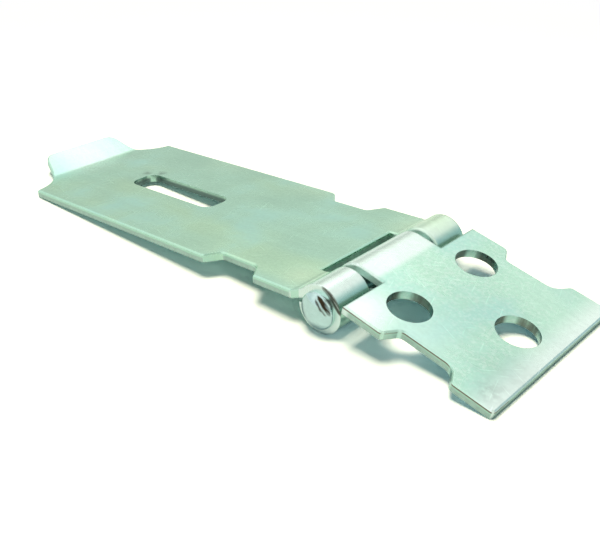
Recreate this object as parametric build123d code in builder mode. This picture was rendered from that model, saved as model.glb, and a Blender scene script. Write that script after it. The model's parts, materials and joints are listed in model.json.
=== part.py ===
"""Safety hasp of pressed sheet steel: a slotted leaf, a fixing leaf and the hinge pin that joins them.

The hasp lies as it comes to rest on a table: barrel down, both leaves drooping to the table.
X runs along the leaves, Y along the hinge pin and Z is up. Sizes are in millimetres.
"""

import os
from math import asin, atan2, cos, degrees, hypot, radians, sin, sqrt

from build123d import *

# Sheet and hinge barrel
sheet = 1.5
leaf_width = 35.0
pin_diameter = 5.3
pin_clearance = 0.05
curl_gap = 0.5
edge_break = 0.25

# Pin heads
head_overhang = 0.5
head_rim = 0.7
head_height = 1.75
head_edge_round = 0.6
peened_overhang = 0.4

# Waist cut into both long sides of each leaf
waist_depth = 3.0
waist_inner_round = 1.2
waist_outer_round = 1.0

# Fixing leaf, measured from the pin's axis
tongue_width = 15.6
leaf_clearance = 0.2
fixing_reach = 31.2
fixing_corner_round = 0.6
fixing_shoulder = 7.1
fixing_waist_start = 11.7
fixing_waist_start_run = 1.6
fixing_waist_end = fixing_reach - fixing_shoulder
fixing_waist_end_run = 1.7
fixing_waist_end_round = 2.4
hole_diameter = 7.2
near_hole_reach = 10.7
near_hole_pitch = 18.5
far_hole_inset = 6.8
far_hole_reach = fixing_reach - far_hole_inset

# Slotted leaf, measured from the pin's axis
slotted_rise = 2.0
jog_radius = 3.2
knuckle_gap = 1.4
knuckle_inset = 0.7
opening_clearance = 2.0
slotted_waist_start = 13.6
slotted_waist_end = 25.8
slotted_waist_run = 2.0
slotted_reach = 76.6
slot_start = 40.4
slot_end = 64.4
slot_width = 6.3
slot_corner_round = 2.2

# Lift tab, past the end of the slotted leaf's long sides
tab_bend_offset = 3.4
tab_bend_reach = slotted_reach + tab_bend_offset
tab_bend_radius = 2.0
tab_angle = 28.0
tab_length = 6.0
tab_root_offset = 6.4
tab_root_reach = slotted_reach + tab_root_offset
tab_root_width = 19.8
tab_tip_width = 17.2
tab_corner_round = 2.5

# Barrel and bends, worked out from the sizes above
half_width = leaf_width / 2
knuckle_end = half_width - knuckle_inset
bore_radius = pin_diameter / 2 + pin_clearance
barrel_radius = bore_radius + sheet
wall_radii = (barrel_radius, bore_radius)
fixing_curl_end = degrees(asin((bore_radius - curl_gap) / barrel_radius))
slotted_curl_end = degrees(asin((slotted_rise - sheet - curl_gap) / barrel_radius))
jog_height = slotted_rise + jog_radius
jog_reach = sqrt((barrel_radius + jog_radius) ** 2 - jog_height**2)
jog_start = degrees(atan2(jog_height, jog_reach))
bend_height = slotted_rise + tab_bend_radius
tab_turn = radians(tab_angle)
tab_under_radius = tab_bend_radius + sheet
tab_tip_reach = tab_bend_reach + tab_under_radius * sin(tab_turn) + tab_length * cos(tab_turn)
tab_tip_rise = bend_height - tab_under_radius * cos(tab_turn) + tab_length * sin(tab_turn)

# Droop of each leaf, with the barrel, the fixing leaf's free edge and the tab's bend on the table
fixing_droop = atan2(bore_radius, fixing_reach) + asin(barrel_radius / hypot(bore_radius, fixing_reach))
slotted_droop = atan2(bend_height, tab_bend_reach) + asin(
    (barrel_radius - tab_under_radius) / hypot(bend_height, tab_bend_reach)
)

# The frame's origin is midway along the part, on the table
slotted_extent = tab_tip_reach * cos(slotted_droop) + tab_tip_rise * sin(slotted_droop)
fixing_extent = fixing_reach * cos(fixing_droop) + barrel_radius * sin(fixing_droop)
pin_axis = Axis(((slotted_extent - fixing_extent) / 2, 0, barrel_radius), (0, 1, 0))

# Each leaf's own plane: origin on the pin's axis, x along the leaf, z out of its upper face
fixing_plane = Plane(
    pin_axis.position,
    x_dir=(cos(fixing_droop), 0, -sin(fixing_droop)),
    z_dir=(sin(fixing_droop), 0, cos(fixing_droop)),
)
slotted_plane = Plane(
    pin_axis.position,
    x_dir=(-cos(slotted_droop), 0, -sin(slotted_droop)),
    z_dir=(-sin(slotted_droop), 0, cos(slotted_droop)),
)


def side_of(leaf_plane):
    """The plane of a leaf's side profile: x along the leaf, y out of its upper face."""
    return Plane(leaf_plane.origin, x_dir=leaf_plane.x_dir, z_dir=-leaf_plane.y_dir)


def waist_corners(start, end, start_run, end_run):
    """Corners of one waist cut, from the hinge outwards."""
    floor = half_width - waist_depth
    return [(start, half_width), (start + start_run, floor), (end - end_run, floor), (end, half_width)]


def round_waists(start, end, inner_round):
    """Rounds the waist corners between two reaches, on both sides of the sketch being built."""
    middle = half_width - waist_depth / 2
    corners = vertices().filter_by_position(Axis.X, start, end)
    fillet(corners.filter_by(lambda corner: abs(corner.Y) < middle), inner_round)
    corners = vertices().filter_by_position(Axis.X, start, end)
    fillet(corners.filter_by(lambda corner: abs(corner.Y) > middle), waist_outer_round)


def pressed_edges(leaf, leaf_plane, bend_reaches):
    """Outline of a leaf's flat upper face, without the lines where the sheet bends away."""
    upper = leaf.faces().filter_by(leaf_plane).sort_by(Axis(leaf_plane.origin, leaf_plane.z_dir))[-1]

    def is_cut(edge):
        reach = leaf_plane.to_local_coords(edge.center()).X
        return all(abs(reach - bend_reach) > edge_break for bend_reach in bend_reaches)

    return upper.outer_wire().edges().filter_by(is_cut)


# Fixing leaf: a flat plate whose middle tongue is rolled round the pin
with BuildPart() as fixing_leaf:
    with BuildSketch(side_of(fixing_plane)):
        with BuildLine():
            plates = [Line((fixing_reach, radius), (0, radius)) for radius in wall_radii]
            curls = [CenterArc((0, 0), radius, 90, 270 + fixing_curl_end) for radius in wall_radii]
            Line(plates[0] @ 0, plates[1] @ 0)
            Line(curls[0] @ 1, curls[1] @ 1)
        make_face()
    extrude(amount=half_width, both=True)
    with BuildSketch(fixing_plane):
        with BuildLine():
            Polyline(
                (-2 * barrel_radius, 0),
                (-2 * barrel_radius, tongue_width / 2),
                (barrel_radius + leaf_clearance, tongue_width / 2),
                (barrel_radius + leaf_clearance, half_width),
                *waist_corners(
                    fixing_waist_start, fixing_waist_end, fixing_waist_start_run, fixing_waist_end_run
                ),
                (fixing_reach, half_width),
                (fixing_reach, 0),
            )
            mirror(about=Plane.XZ)
        make_face()
        fixing_waist_middle = (fixing_waist_start + fixing_waist_end) / 2
        round_waists(fixing_waist_start, fixing_waist_middle, waist_inner_round)
        round_waists(fixing_waist_middle, fixing_waist_end, fixing_waist_end_round)
        fillet(vertices().filter_by_position(Axis.X, fixing_reach, fixing_reach), fixing_corner_round)
        with Locations((far_hole_reach, 0)):
            Circle(hole_diameter / 2, mode=Mode.SUBTRACT)
        with Locations((near_hole_reach, -near_hole_pitch / 2), (near_hole_reach, near_hole_pitch / 2)):
            Circle(hole_diameter / 2, mode=Mode.SUBTRACT)
    extrude(amount=2 * barrel_radius, both=True, mode=Mode.INTERSECT)
    chamfer(pressed_edges(fixing_leaf, fixing_plane, [0]), edge_break)
fixing_leaf.part.label = "fixing_leaf"

# Slotted leaf: the long plate, jogged up into two outer knuckles and turned up at its lift tab
with BuildPart() as slotted_leaf:
    with BuildSketch(side_of(slotted_plane)):
        with BuildLine():
            tips = []
            curls = []
            for depth in (0, sheet):
                bend = CenterArc((tab_bend_reach, bend_height), tab_bend_radius + depth, 270, tab_angle)
                tips.append(PolarLine(bend @ 1, tab_length, tab_angle))
                jog = CenterArc((jog_reach, jog_height), jog_radius + depth, 270, jog_start - 90)
                Line(bend @ 0, jog @ 0)
                curl_turn = 360 + slotted_curl_end - jog_start
                curls.append(CenterArc((0, 0), barrel_radius - depth, jog_start, curl_turn))
            Line(tips[0] @ 1, tips[1] @ 1)
            Line(curls[0] @ 1, curls[1] @ 1)
        make_face()
    extrude(amount=half_width, both=True)
    with BuildSketch(slotted_plane):
        with BuildLine():
            edge = Polyline(
                (-2 * barrel_radius, 0),
                (-2 * barrel_radius, knuckle_end),
                (barrel_radius, knuckle_end),
                (jog_reach, half_width),
                *waist_corners(
                    slotted_waist_start, slotted_waist_end, slotted_waist_run, slotted_waist_run
                ),
                (slotted_reach, half_width),
            )
            tip = Polyline(
                (tab_root_reach, tab_root_width / 2),
                (tab_tip_reach, tab_tip_width / 2),
                (tab_tip_reach, 0),
            )
            TangentArc(tip @ 0, edge @ 1, tangent=-(tip % 0))
            mirror(about=Plane.XZ)
        make_face()
        round_waists(slotted_waist_start, slotted_waist_end, waist_inner_round)
        with Locations(((slot_start + slot_end) / 2, 0)):
            RectangleRounded(slot_end - slot_start, slot_width, slot_corner_round, mode=Mode.SUBTRACT)
        opening_reach = barrel_radius + opening_clearance
        Rectangle(2 * opening_reach, tongue_width + 2 * knuckle_gap, mode=Mode.SUBTRACT)
    extrude(amount=4 * barrel_radius, both=True, mode=Mode.INTERSECT)
    tip_edges = slotted_leaf.faces().sort_by(Axis.X)[0].edges().sort_by(Axis.Y)
    fillet([tip_edges[0], tip_edges[-1]], tab_corner_round)
    chamfer(pressed_edges(slotted_leaf, slotted_plane, [jog_reach, tab_bend_reach]), edge_break)
slotted_leaf.part.label = "slotted_leaf"

# Hinge pin: a shank with a low domed head on one end and a peened head on the other
head_radius = pin_diameter / 2 + head_overhang
peened_radius = pin_diameter / 2 + peened_overhang
with BuildPart() as hinge_pin:
    with BuildSketch(Plane(pin_axis.position)):
        with BuildLine():
            crown = TangentArc(
                (0, -knuckle_end - head_height), (head_radius, -knuckle_end - head_rim), tangent=(1, 0)
            )
            shank = Polyline(
                crown @ 1,
                (head_radius, -knuckle_end),
                (pin_diameter / 2, -knuckle_end),
                (pin_diameter / 2, knuckle_end),
                (peened_radius, knuckle_end),
            )
            peen = TangentArc((0, knuckle_end + head_height), shank @ 1, tangent=(1, 0))
            Line(peen @ 0, crown @ 0)
        make_face()
        fillet(vertices().sort_by_distance(crown @ 1)[0], head_edge_round)
    revolve(axis=pin_axis)
hinge_pin.part.label = "hinge_pin"

os.makedirs("parts", exist_ok=True)
export_step(fixing_leaf.part, "parts/fixing_leaf.step")
export_step(slotted_leaf.part, "parts/slotted_leaf.step")
export_step(hinge_pin.part, "parts/hinge_pin.step")
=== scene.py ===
"""Looks of the safety hasp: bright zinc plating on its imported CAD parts, on a white table in soft light."""

import json
from math import pi, radians

import bpy
from mathutils import Matrix, Vector

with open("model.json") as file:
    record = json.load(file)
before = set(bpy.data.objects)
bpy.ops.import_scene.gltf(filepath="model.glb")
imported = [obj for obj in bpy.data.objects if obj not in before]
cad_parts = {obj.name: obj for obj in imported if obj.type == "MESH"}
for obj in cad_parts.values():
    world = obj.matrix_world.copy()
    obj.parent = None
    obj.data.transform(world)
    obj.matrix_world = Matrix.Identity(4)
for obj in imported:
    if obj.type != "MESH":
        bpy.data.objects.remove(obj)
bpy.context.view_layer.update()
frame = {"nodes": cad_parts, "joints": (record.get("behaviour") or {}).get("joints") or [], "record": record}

MM = 0.001
WHITE = (1.0, 1.0, 1.0)

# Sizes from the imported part; the barrel lies on the table, so its radius is the pin's height
hinge_point = Vector(frame["joints"][0]["pos_m"])
hinge_axis = Vector(frame["joints"][0]["axis"])
mounts = {mount["name"]: mount for mount in frame["record"]["mounts"]}
fixing_holes = [mount for mount in mounts.values() if mount["kind"] == "bore"]
sheet = fixing_holes[0]["dims"]["length_mm"] * MM
barrel = hinge_point.z

# Camera, fitted to the photograph's 600 by 534 frame
CAMERA_PLACE = Vector((100.93, -101.46, 72.96)) * MM
CAMERA_AIM = Vector((11.41, -3.17, 0.0)) * MM
CAMERA_NEAR = 5.0 * MM
LENS = 51.5
SENSOR = 36.0

# White table: where it fades to white, and its colour for the light that bounces and for the camera
TABLE_HALF = 1.5
TABLE_FADE = (0.12, 0.25)
TABLE_COLOR = (0.82, 0.88, 1.02)
TABLE_SEEN_COLOR = (1.42, 1.46, 1.54)

# Studio dome that the metal shows: colours by the sine of the elevation
DOME_STOPS = (
    (0.00, (1.00, 1.02, 0.98)),
    (0.10, (0.95, 0.97, 0.92)),
    (0.20, (0.57, 0.60, 0.57)),
    (0.28, (0.58, 0.62, 0.58)),
    (0.40, (0.70, 0.72, 0.69)),
    (0.50, (1.00, 0.99, 0.93)),
    (0.57, (1.12, 1.12, 1.12)),
    (0.65, (0.95, 0.95, 0.95)),
    (1.00, (0.92, 0.94, 0.96)),
)

# Patches on the dome: azimuth and elevation, cosines where a patch starts and is full, and its colour
DOME_PATCHES = (
    (80, 0, 0.70, 0.95, (0.34, 0.50, 0.56)),  # cool shade on the right
    (160, 35, 0.55, 0.85, (0.58, 0.62, 0.58)),  # dim wall behind the camera
    (150, 40, 0.93, 0.99, (1.10, 1.10, 1.06)),  # window in that wall
    (-110, 0, 0.20, 0.60, (0.80, 0.86, 0.86)),  # pale wall on the left
    (-110, 42, 0.70, 0.92, (1.06, 1.08, 1.07)),  # glow above that wall
)

# Fill that the table gets from the dome, low down and above the sine where it fades
TABLE_FILL_LOW = (0.25, 0.50, 0.47)
TABLE_FILL_HIGH = (0.03, 0.045, 0.05)
TABLE_FILL_FADE = 0.4

# Softboxes: azimuth, elevation, side in metres, radiance, colour, and whether the metal shows them
SOFTBOX_DISTANCE = 0.6
SOFTBOXES = {
    "back_softbox": (8, 58, 0.33, 0.55, WHITE, True),
    "top_softbox": (-135, 86, 0.30, 12.0, (1.0, 0.94, 0.70), False),
    "front_softbox": (162, 25, 0.30, 1.5, (0.80, 1.0, 0.84), False),
}

# Zinc plating
ZINC_MINT = (0.51, 0.80, 0.63)
ZINC_STRAW = (0.57, 0.83, 0.58)
# Gold: a straw-gold tint of the plating in places, and a painted reflection at the slotted leaf's jog and far
# knuckle
GOLD_TINT_AND_REFLECTION = (0.70, 0.92, 0.66)
ZINC_BLUE = (0.47, 0.79, 0.69)
ZINC_BRIGHT = (0.81, 0.95, 0.87)
ZINC_UNDER = (0.66, 0.98, 0.94)
ZINC_SHEARED = (0.44, 0.60, 0.51)
# Painted shade on the slot's walls and on the cut edges in the hinge gap
PAINTED_WALL_SHADE = (0.16, 0.25, 0.22)
ZINC_HOLE_WALL = (0.21, 0.26, 0.21)
ZINC_PIN = (0.62, 0.83, 0.79)
# Painted dark reflection in a thin line under the fixing leaf's near top edge
EDGE_REFLECTION_COLOR = (0.20, 0.15, 0.11)
# Painted dark reflection in streaks on the pin's head and the knuckle's rim
STREAK_REFLECTION_COLOR = (0.042, 0.031, 0.016)

# Noise of the plating, in waves to the metre
CLOUD_NOISE = 85
PATCH_NOISE = 45
HAZE_NOISE = 2000
SPECKLE_NOISE = 1500
SCUFF_NOISE = 700
SHEET_WAVE_NOISE = 70
PIN_CLOUD_NOISE = 260
PIN_SPECKLE_NOISE = 1400
# Noise that wobbles the painted reflection streaks on the pin
REFLECTION_STREAK_NOISE = 900

# Stretch, turn and shift of the noise
PATCH_STRETCH = (0.6, 1.4, 1.0)
PATCH_TURN = (0.0, 0.0, 0.5)
PATCH_SHIFT = (0.3, 0.1, 0.2)
SHEET_WAVE_SHIFT = (0.7, 0.2, 0.4)

# Noise drawn out into lines, in waves to the metre along each axis, and the scratches' turns and shifts
ROLLING_SCALE = (40, 700, 300)
SCRATCH_SCALE = (170, 2600, 60)
TEAR_SCALE = (1500, 1500, 120)
# Grain of the painted reflection streaks on the pin
REFLECTION_STREAK_SCALE = (2600, 0, 350)
SCRATCH_TURNS = ((0.35, 0.0), (1.25, 0.5), (-0.7, 0.9), (2.3, 1.4))

# Relief: heights in thousandths of a millimetre, then the rounding of the edges
MICRON = 0.001 * MM
SHEET_WAVE_RISE = 120.0
SPECKLE_RISE = 0.45
SCRATCH_RISE = -1.2
TEAR_RISE = 7.5
SCUFF_RISE = 9.0
PIN_RISE = 30.0
EDGE_ROUND = 0.15 * MM
KNUCKLE_EDGE_ROUND = 0.45 * MM

# Roughness, and how strongly the marks show
SHEET_ROUGHNESS = (0.20, 0.30)
PIN_ROUGHNESS = (0.10, 0.18)
SHEARED_ROUGHNESS = (0.05, 0.22)
SCRATCH_ROUGHNESS = 0.10
# The curl amount below is a painted highlight along the knuckle curl round the pin
CURL_HIGHLIGHT = 0.95
SCUFF_SHADE = 0.22

# Bands in a leaf's own frame: where each starts and is full, and where some begin to fade and end
BARREL_CLEAR = (5.0 * MM, 6.0 * MM)
# Band of painted highlight along the fixing leaf's free edge
FREE_EDGE_HIGHLIGHT = (25.2 * MM, 31.2 * MM)
# Band of painted shade on the cut edges in the hinge gap
GAP_BAND = (4.25 * MM, 4.35 * MM, 4.8 * MM, 5.0 * MM)
# Slot walls that get painted shade: along the leaf and to the side
SLOT_BAND = (-67.0 * MM, -66.0 * MM, -39.0 * MM, -38.0 * MM)
SLOT_SIDE = (3.9 * MM, 3.4 * MM)
# Where the painted dark reflection lies: towards the near side, and how deep under the upper face
EDGE_REFLECTION_SIDE = (-13.0 * MM, -14.0 * MM)
EDGE_REFLECTION_DEPTHS = (0.10, 0.18, 0.24, 0.40)

# Painted dark reflection streaks across the pin's end: inner and outer edge, how far they reach from its
# axis, and amount
REFLECTION_STREAK_ROLL = radians(46)
REFLECTION_STREAK_END = (-16.5 * MM, -16.7 * MM)
REFLECTION_STREAK_WOBBLE = 0.6 * MM
REFLECTION_STREAKS = (
    (1.85 * MM, 2.45 * MM, 3.05 * MM, 0.9),
    (2.35 * MM, 3.40 * MM, 3.05 * MM, 1.0),
    (3.30 * MM, 4.75 * MM, 4.30 * MM, 0.9),
)
STREAK_INNER_FADE = 0.25 * MM
STREAK_OUTER_FADE = 0.35 * MM
STREAK_RIM_FADE = 0.15 * MM

# Marks of each leaf: spots by place in its own frame, radius and amount, then values for the whole leaf
FIXING_MARKS = {
    # Bright spots are painted highlights where the leaf reflects the light
    "bright": (
        ((6.5, -15.5, 4.2), 9.0, 1.0),
        ((15.0, -14.0, 4.2), 11.0, 0.28),
        ((24.0, 12.0, 4.2), 10.0, 0.15),
    ),
    "gold_tint_and_reflection": (),
    # Dim spots are painted shade across the middle of the fixing leaf
    "painted_shade": (
        ((18.0, -1.0, 4.2), 13.0, 0.07),
        ((28.0, -9.0, 4.2), 8.0, 0.12),
    ),
    "scuffs": (((28.5, -14.5, 4.2), 3.6, 1.0),),
    "scratches": 0.15,
    "haze": 0.30,
    "underside": 0.9,
    # Painted dark reflection under the near top edge, fully on
    "edge_reflection": 1.0,
    "curl_start": -15.0 * MM,
}
SLOTTED_MARKS = {
    # Painted highlight on the bent-up tab of the slotted leaf
    "bright": (((-85.0, 0.0, 4.0), 14.0, 0.6),),
    # The first two gold spots are a painted reflection at the far knuckle and the jog; the last two are a
    # straw tint along the far edge
    "gold_tint_and_reflection": (
        ((-2.0, 14.0, 3.5), 10.0, 0.9),
        ((-7.0, -13.0, 3.0), 5.5, 0.8),
        ((-30.0, 18.0, 2.0), 9.0, 0.35),
        ((-55.0, 18.0, 2.0), 10.0, 0.3),
    ),
    "painted_shade": (),
    "scuffs": (
        ((-65.7, 2.6, 2.0), 1.5, 2.0),
        ((-63.0, 4.3, 2.0), 1.9, 2.0),
    ),
    "scratches": 0.04,
    "haze": 0.05,
    "underside": 0.3,
    "edge_reflection": 0.0,
    "curl_start": -4.2 * MM,
}

# Spots round the fixing holes, in the part's frame
HOLE_MARGIN = 0.8
HOLE_SPOTS = [
    (Vector(hole["pos_m"]) / MM, hole["dims"]["r_mm"] + HOLE_MARGIN, 1.0) for hole in fixing_holes
]


class Nodes:
    """Adds nodes to one tree and links them as it goes."""

    def __init__(self, tree):
        self.tree = tree
        tree.nodes.clear()

    def add(self, kind, inputs=None, **settings):
        made = self.tree.nodes.new(kind)
        for name, value in settings.items():
            setattr(made, name, value)
        for name, value in (inputs or {}).items():
            self.feed(made.inputs[name], value)
        return made

    def feed(self, socket, value):
        if isinstance(value, bpy.types.NodeSocket):
            self.tree.links.new(value, socket)
        else:
            socket.default_value = value

    def math(self, operation, first, second=0.0, third=0.0):
        inputs = {0: first, 1: second, 2: third}
        return self.add("ShaderNodeMath", inputs, operation=operation).outputs[0]

    def product(self, *values):
        result = values[0]
        for value in values[1:]:
            result = self.math("MULTIPLY", result, value)
        return result

    def largest(self, *values):
        result = values[0]
        for value in values[1:]:
            result = self.math("MAXIMUM", result, value)
        return result

    def vector_math(self, operation, first, second=(0, 0, 0)):
        inputs = {0: first, 1: second}
        return self.add("ShaderNodeVectorMath", inputs, operation=operation).outputs["Value"]

    def split(self, vector):
        return self.add("ShaderNodeSeparateXYZ", {"Vector": vector}).outputs

    def ramp(self, value, low, high, start=0.0, end=1.0):
        """Goes smoothly from start to end as the value goes from low to high."""
        inputs = {"Value": value, "From Min": low, "From Max": high, "To Min": start, "To Max": end}
        return self.add("ShaderNodeMapRange", inputs, interpolation_type="SMOOTHSTEP").outputs["Result"]

    def band(self, value, start, full, fade, end):
        """1 where the value is between full and fade, falling to 0 at start and end."""
        return self.product(self.ramp(value, start, full), self.ramp(value, end, fade))

    def noise(self, vector, scale=1.0, detail=3.0):
        inputs = {"Vector": vector, "Scale": scale, "Detail": detail}
        return self.add("ShaderNodeTexNoise", inputs).outputs["Fac"]

    def mapped(self, vector, scale=(1, 1, 1), turn=(0, 0, 0), shift=(0, 0, 0)):
        inputs = {"Vector": vector, "Scale": scale, "Rotation": turn, "Location": shift}
        return self.add("ShaderNodeMapping", inputs).outputs["Vector"]

    def mix(self, factor, first, second, blend="MIX"):
        inputs = {0: factor, 6: first, 7: second}
        return self.add("ShaderNodeMix", inputs, data_type="RGBA", blend_type=blend).outputs[2]

    def shaded(self, color, tone):
        grey = self.add("ShaderNodeCombineColor", {"Red": tone, "Green": tone, "Blue": tone}).outputs[0]
        return self.mix(1.0, color, grey, "MULTIPLY")

    def spots(self, place, marks):
        """The largest of the marks' amounts at a place: full at each centre, 0 at its radius."""
        shade = 0.0
        for centre, radius, amount in marks:
            away = self.vector_math("DISTANCE", place, [value * MM for value in centre])
            shade = self.largest(shade, self.ramp(away, 0.0, radius * MM, amount, 0.0))
        return shade

    def choose(self, factor, first, second):
        inputs = {0: factor, 1: first, 2: second}
        return self.add("ShaderNodeMixShader", inputs).outputs["Shader"]

    def metal(self, color, roughness, normal):
        inputs = {"Metallic": 1.0, "Base Color": color, "Roughness": roughness, "Normal": normal}
        shader = self.add("ShaderNodeBsdfPrincipled", inputs)
        self.add("ShaderNodeOutputMaterial", {"Surface": shader.outputs["BSDF"]})


def rgba(color):
    return (*color, 1.0)


def new_material(name):
    material = bpy.data.materials.new(name)
    material.use_nodes = True
    return material, Nodes(material.node_tree)


class LeafPlaces:
    """Says where a point of a leaf lies.

    Its own frame starts on the pin's axis: x along the leaf, y along the pin, z out of the upper face.
    """

    def __init__(self, nodes, mount, sheet_above):
        up = Vector(mount["axis"])
        turn = Matrix((hinge_axis.cross(up), hinge_axis, up))
        top = (Vector(mount["pos_m"]) - hinge_point).dot(up) + sheet_above
        coords = nodes.add("ShaderNodeTexCoord").outputs
        self.in_part = coords["Object"]
        self.in_leaf = nodes.mapped(self.in_part, turn=turn.to_euler(), shift=-(turn @ hinge_point))
        self.normal = nodes.split(nodes.mapped(coords["Normal"], turn=turn.to_euler()))
        self.x, self.y, z = nodes.split(self.in_leaf)
        self.depth = nodes.math("DIVIDE", nodes.math("SUBTRACT", top, z), sheet)

        # Sheared sides face along the pin, or along the leaf where it is clear of the barrel
        self.off_pin = nodes.math("ABSOLUTE", self.x)
        self.clear = nodes.ramp(self.off_pin, *BARREL_CLEAR)
        lengthwise = nodes.product(nodes.math("ABSOLUTE", self.normal["X"]), self.clear)
        sideways = nodes.largest(nodes.math("ABSOLUTE", self.normal["Y"]), lengthwise)
        self.sheared = nodes.ramp(sideways, 0.80, 0.95)
        self.tears = nodes.noise(nodes.mapped(self.in_leaf, scale=TEAR_SCALE), detail=2)
        self.torn = nodes.ramp(nodes.math("MULTIPLY_ADD", self.tears, 0.5, self.depth), 0.55, 0.80)


def plating_color(nodes, at, marks, clouds):
    """Passivate in mint, straw and blue clouds, with painted highlights on the curl, along the free edge and
    in bright spots, gold that is partly a painted reflection, and a brighter underside.
    """
    patches = nodes.noise(nodes.mapped(at.in_leaf, PATCH_STRETCH, PATCH_TURN, PATCH_SHIFT), PATCH_NOISE, 2)
    color = nodes.mix(nodes.ramp(patches, 0.48, 0.75), rgba(ZINC_MINT), rgba(ZINC_STRAW))
    color = nodes.mix(nodes.ramp(clouds, 0.45, 0.80), color, rgba(ZINC_BLUE))
    # Painted highlights on the knuckle curl, along the free edge and in the bright spots; the haze is real
    # whitish speckle
    round_pin = nodes.ramp(at.off_pin, barrel, 0.6 * barrel)
    curl_highlight = nodes.product(round_pin, nodes.ramp(at.x, marks["curl_start"], 0.2 * barrel), CURL_HIGHLIGHT)
    haze = nodes.ramp(nodes.noise(at.in_leaf, HAZE_NOISE, 4), 0.40, 0.68, 0.0, marks["haze"])
    free_edge_highlight = nodes.ramp(at.x, *FREE_EDGE_HIGHLIGHT)
    bright = nodes.largest(nodes.spots(at.in_leaf, marks["bright"]), curl_highlight, free_edge_highlight, haze)
    color = nodes.mix(bright, color, rgba(ZINC_BRIGHT))
    # Gold spots: partly a painted reflection, partly a tint of the plating
    color = nodes.mix(nodes.spots(at.in_leaf, marks["gold_tint_and_reflection"]), color, rgba(GOLD_TINT_AND_REFLECTION))
    under = nodes.ramp(at.normal["Z"], -0.5, -0.9, 0.0, marks["underside"])
    return nodes.mix(under, color, rgba(ZINC_UNDER))


def plating_tone(nodes, at, marks, speckle, scratches, scuffs):
    """Light and dark of the plating: speckle, rolling streaks, painted shade spots, scratches and scuffs."""
    rolling = nodes.noise(nodes.mapped(at.in_leaf, scale=ROLLING_SCALE))
    tone = nodes.ramp(speckle, 0.25, 0.75, 0.97, 1.03)
    tone = nodes.product(tone, nodes.ramp(rolling, 0.3, 0.7, 0.98, 1.02))
    # Subtracts the painted shade spots
    tone = nodes.math("SUBTRACT", tone, nodes.spots(at.in_leaf, marks["painted_shade"]))
    tone = nodes.math("MULTIPLY_ADD", scratches, marks["scratches"], tone)
    return nodes.math("MULTIPLY_ADD", scuffs, -SCUFF_SHADE, tone)


def handling_scratches(nodes, at):
    """Hair scratches that cross in several directions."""
    scratches = 0.0
    for angle, shift in SCRATCH_TURNS:
        turned = nodes.mapped(at.in_leaf, turn=(0, 0, angle), shift=(shift, shift, 0))
        lines = nodes.noise(nodes.mapped(turned, scale=SCRATCH_SCALE), detail=1)
        scratches = nodes.largest(scratches, nodes.ramp(lines, 0.68, 0.80))
    return scratches


def sheared_color(nodes, at, marks, clouds):
    """A burnished band under the upper face, then torn metal; painted shade on the slot walls, a painted dark
    reflection under the near top edge, and dark hole walls.
    """
    color = nodes.mix(at.torn, rgba(ZINC_MINT), rgba(ZINC_SHEARED))
    color = nodes.shaded(color, nodes.ramp(at.tears, 0.3, 0.7, 0.92, 1.06))
    color = nodes.mix(at.clear, rgba(ZINC_BRIGHT), color)
    # Painted shade on the slot walls
    slot_side = nodes.ramp(nodes.math("ABSOLUTE", at.y), *SLOT_SIDE)
    slot_wall_shade = nodes.product(slot_side, nodes.ramp(at.depth, 0.1, 0.6), nodes.band(at.x, *SLOT_BAND))
    color = nodes.mix(slot_wall_shade, color, rgba(PAINTED_WALL_SHADE))
    # Painted dark reflection: a thin brown line just under the near top edge
    near_side = nodes.ramp(at.y, *EDGE_REFLECTION_SIDE, 0.0, marks["edge_reflection"])
    patchy = nodes.ramp(clouds, 0.35, 0.55, 0.5, 1.0)
    edge_reflection = nodes.product(nodes.band(at.depth, *EDGE_REFLECTION_DEPTHS), near_side, patchy)
    color = nodes.mix(edge_reflection, color, rgba(EDGE_REFLECTION_COLOR))
    hole_wall = nodes.ramp(nodes.spots(at.in_part, HOLE_SPOTS), 0.0, 0.05)
    in_hole = nodes.product(hole_wall, nodes.ramp(at.tears, 0.25, 0.60, 0.5, 1.0))
    return nodes.mix(in_hole, color, rgba(ZINC_HOLE_WALL))


def sheet_relief(nodes, at, speckle, scratches, scuffs):
    """Gentle waves, speckle, scratches, torn sides and softly rounded edges."""
    waves = nodes.noise(nodes.mapped(at.in_leaf, shift=SHEET_WAVE_SHIFT), SHEET_WAVE_NOISE, 1)
    side_tears = nodes.product(at.tears, at.clear, at.sheared)
    height = nodes.product(waves, SHEET_WAVE_RISE)
    height = nodes.math("MULTIPLY_ADD", speckle, SPECKLE_RISE, height)
    height = nodes.math("MULTIPLY_ADD", scratches, SCRATCH_RISE, height)
    height = nodes.math("MULTIPLY_ADD", side_tears, TEAR_RISE, height)
    height = nodes.math("MULTIPLY_ADD", scuffs, SCUFF_RISE, height)
    edge_round = nodes.ramp(at.clear, 0.0, 1.0, KNUCKLE_EDGE_ROUND, EDGE_ROUND)
    edges = nodes.add("ShaderNodeBevel", {"Radius": edge_round}, samples=4).outputs["Normal"]
    bump = nodes.add("ShaderNodeBump", {"Height": height, "Distance": MICRON, "Normal": edges})
    return bump.outputs["Normal"]


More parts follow.
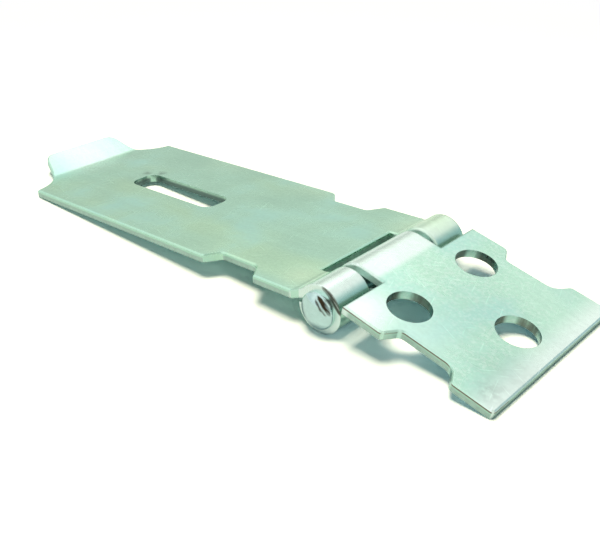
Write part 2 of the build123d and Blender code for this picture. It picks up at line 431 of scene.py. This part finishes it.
def painted_reflection_streaks(nodes, place):
    """Painted dark reflection: broken brown streaks across the pin's near head and the knuckle's rim beside
    it.
    """
    radial = nodes.mapped(place, scale=(1, 0, 1), shift=(-hinge_point.x, 0, -hinge_point.z))
    reach = nodes.vector_math("LENGTH", radial)
    turned = nodes.mapped(radial, turn=(0, REFLECTION_STREAK_ROLL, 0))
    across = nodes.split(turned)["X"]
    wobbly = nodes.math("MULTIPLY_ADD", nodes.noise(place, REFLECTION_STREAK_NOISE), REFLECTION_STREAK_WOBBLE, across)
    streaks = 0.0
    for inner, outer, rim, amount in REFLECTION_STREAKS:
        streak = nodes.band(wobbly, inner, inner + STREAK_INNER_FADE, outer - STREAK_OUTER_FADE, outer)
        streak = nodes.product(streak, nodes.ramp(reach, rim, rim - STREAK_RIM_FADE, 0.0, amount))
        streaks = nodes.largest(streaks, streak)
    near_end = nodes.ramp(nodes.split(place)["Y"], *REFLECTION_STREAK_END)
    one_side = nodes.ramp(nodes.math("DIVIDE", across, reach), 0.73, 0.84)
    grain = nodes.noise(nodes.mapped(turned, scale=REFLECTION_STREAK_SCALE), detail=2)
    return nodes.product(streaks, near_end, one_side, nodes.ramp(grain, 0.45, 0.65, 1.0, 0.60))


def zinc_sheet(name, mount, sheet_above, marks):
    """Zinc-plated sheet of one leaf; sheet_above is how deep its mount lies under the upper face."""
    material, nodes = new_material(name)
    at = LeafPlaces(nodes, mount, sheet_above)
    clouds = nodes.noise(at.in_leaf, CLOUD_NOISE)
    speckle = nodes.noise(at.in_leaf, SPECKLE_NOISE, 2)
    scratches = handling_scratches(nodes, at)
    rubbed = nodes.ramp(nodes.noise(at.in_leaf, SCUFF_NOISE), 0.35, 0.60)
    scuffs = nodes.product(nodes.spots(at.in_leaf, marks["scuffs"]), rubbed)

    tone = plating_tone(nodes, at, marks, speckle, scratches, scuffs)
    color = nodes.shaded(plating_color(nodes, at, marks, clouds), tone)
    color = nodes.mix(at.sheared, color, sheared_color(nodes, at, marks, clouds))
    # Painted shade on the cut edges facing into the hinge gap
    gap_shade = nodes.product(nodes.band(at.x, *GAP_BAND), nodes.ramp(at.normal["X"], -0.5, -0.8))
    color = nodes.mix(gap_shade, color, rgba(PAINTED_WALL_SHADE))
    # Painted dark reflection streaks on the knuckle's rim
    color = nodes.mix(painted_reflection_streaks(nodes, at.in_part), color, rgba(STREAK_REFLECTION_COLOR))

    rough = nodes.ramp(clouds, 0.3, 0.7, *SHEET_ROUGHNESS)
    rough = nodes.math("MULTIPLY_ADD", scratches, SCRATCH_ROUGHNESS, rough)
    rough = nodes.math("MULTIPLY_ADD", at.sheared, nodes.ramp(at.torn, 0.0, 1.0, *SHEARED_ROUGHNESS), rough)
    nodes.metal(color, rough, sheet_relief(nodes, at, speckle, scratches, scuffs))
    return material


def zinc_pin(name):
    """Zinc-plated pin: smoother than the sheet."""
    material, nodes = new_material(name)
    place = nodes.add("ShaderNodeTexCoord").outputs["Object"]
    clouds = nodes.noise(place, PIN_CLOUD_NOISE)
    speckle = nodes.noise(place, PIN_SPECKLE_NOISE, 2)
    tone = nodes.ramp(clouds, 0.3, 0.7, 0.90, 1.02)
    tone = nodes.product(tone, nodes.ramp(speckle, 0.3, 0.7, 0.95, 1.02))
    # Painted dark reflection streaks on the pin's head
    color = nodes.mix(painted_reflection_streaks(nodes, place), nodes.shaded(rgba(ZINC_PIN), tone), rgba(STREAK_REFLECTION_COLOR))
    rough = nodes.ramp(clouds, 0.3, 0.7, *PIN_ROUGHNESS)
    bump = nodes.add("ShaderNodeBump", {"Height": clouds, "Distance": PIN_RISE * MICRON})
    nodes.metal(color, rough, bump.outputs["Normal"])
    return material


def dress(node, material):
    slots = frame["nodes"][node].data.materials
    slots.clear()
    slots.append(material)


def white_table():
    """White that keeps the hasp's shadow and fades to a white backdrop away from it."""
    material, nodes = new_material("white_table")
    rays = nodes.add("ShaderNodeLightPath").outputs
    color = nodes.mix(rays["Is Camera Ray"], rgba(TABLE_COLOR), rgba(TABLE_SEEN_COLOR))
    lit = nodes.add("ShaderNodeBsdfDiffuse", {"Color": color}).outputs["BSDF"]
    white = nodes.add("ShaderNodeEmission", {"Color": rgba(WHITE)}).outputs["Emission"]
    away = nodes.vector_math("LENGTH", nodes.add("ShaderNodeTexCoord").outputs["Object"])
    shown = nodes.largest(rays["Is Camera Ray"], rays["Is Glossy Ray"])
    shader = nodes.choose(nodes.product(shown, nodes.ramp(away, *TABLE_FADE)), lit, white)
    nodes.add("ShaderNodeOutputMaterial", {"Surface": shader})
    return material


def build_table():
    mesh = bpy.data.meshes.new("table")
    corners = [(x * TABLE_HALF, y * TABLE_HALF, 0) for x, y in ((-1, -1), (1, -1), (1, 1), (-1, 1))]
    mesh.from_pydata(corners, [], [(0, 1, 2, 3)])
    mesh.materials.append(white_table())
    table = bpy.data.objects.new("table", mesh)
    bpy.context.scene.collection.objects.link(table)


def heading(azimuth, elevation):
    """Direction from the table: azimuth in degrees to the right of the way the camera looks."""
    look = CAMERA_AIM - CAMERA_PLACE
    look.z = 0.0
    level = Matrix.Rotation(-radians(azimuth), 3, "Z") @ look.normalized()
    right = level.cross(Vector((0, 0, 1)))
    return Matrix.Rotation(radians(elevation), 3, right) @ level


def build_dome():
    """Studio dome: the metal shows its walls and window, the table gets its fill, the camera sees white."""
    world = bpy.data.worlds.new("studio")
    bpy.context.scene.world = world
    world.use_nodes = True
    world.cycles.sampling_method = "NONE"
    nodes = Nodes(world.node_tree)
    direction = nodes.add("ShaderNodeTexCoord").outputs["Generated"]
    rise = nodes.split(direction)["Z"]
    ramp = nodes.add("ShaderNodeValToRGB", {"Fac": rise})
    stops = ramp.color_ramp.elements
    while len(stops) < len(DOME_STOPS):
        stops.new(1.0)
    for stop, (position, color) in zip(stops, DOME_STOPS):
        stop.position = position
        stop.color = rgba(color)
    walls = ramp.outputs["Color"]
    for azimuth, elevation, start, full, color in DOME_PATCHES:
        toward = nodes.vector_math("DOT_PRODUCT", direction, heading(azimuth, elevation))
        walls = nodes.mix(nodes.ramp(toward, start, full), walls, rgba(color))
    fill = nodes.mix(nodes.ramp(rise, 0.0, TABLE_FILL_FADE), rgba(TABLE_FILL_LOW), rgba(TABLE_FILL_HIGH))
    rays = nodes.add("ShaderNodeLightPath").outputs
    shown = nodes.product(rays["Is Glossy Ray"], nodes.math("LESS_THAN", rays["Diffuse Depth"], 0.5))
    dome = nodes.add("ShaderNodeBackground", {"Color": nodes.mix(shown, fill, walls)}).outputs["Background"]
    white = nodes.add("ShaderNodeBackground", {"Color": rgba(WHITE)}).outputs["Background"]
    shader = nodes.choose(rays["Is Camera Ray"], dome, white)
    nodes.add("ShaderNodeOutputWorld", {"Surface": shader})


def build_softbox(name, azimuth, elevation, side, radiance, color, shown):
    """Square lamp aimed at the hasp; a lamp that isn't shown lights the table alone."""
    light = bpy.data.lights.new(name, "AREA")
    light.size = side
    light.color = color
    light.energy = radiance * pi * side**2
    lamp = bpy.data.objects.new(name, light)
    bpy.context.scene.collection.objects.link(lamp)
    toward = heading(azimuth, elevation)
    lamp.location = toward * SOFTBOX_DISTANCE
    lamp.rotation_euler = toward.to_track_quat("Z", "Y").to_euler()
    lamp.visible_glossy = shown


def build_camera():
    camera = bpy.data.cameras.new("camera")
    camera.lens = LENS
    camera.sensor_width = SENSOR
    camera.clip_start = CAMERA_NEAR
    holder = bpy.data.objects.new("camera", camera)
    bpy.context.scene.collection.objects.link(holder)
    holder.location = CAMERA_PLACE
    holder.rotation_euler = (CAMERA_AIM - CAMERA_PLACE).to_track_quat("-Z", "Y").to_euler()
    bpy.context.scene.camera = holder


dress("fixing_leaf", zinc_sheet("fixing_zinc", mounts["fixing_face"], 0.0, FIXING_MARKS))
dress("slotted_leaf", zinc_sheet("slotted_zinc", mounts["staple_slot"], sheet / 2, SLOTTED_MARKS))
dress("hinge_pin", zinc_pin("pin_zinc"))
build_table()
build_dome()
for name, settings in SOFTBOXES.items():
    build_softbox(name, *settings)
build_camera()
bpy.context.scene.view_settings.view_transform = "Standard"
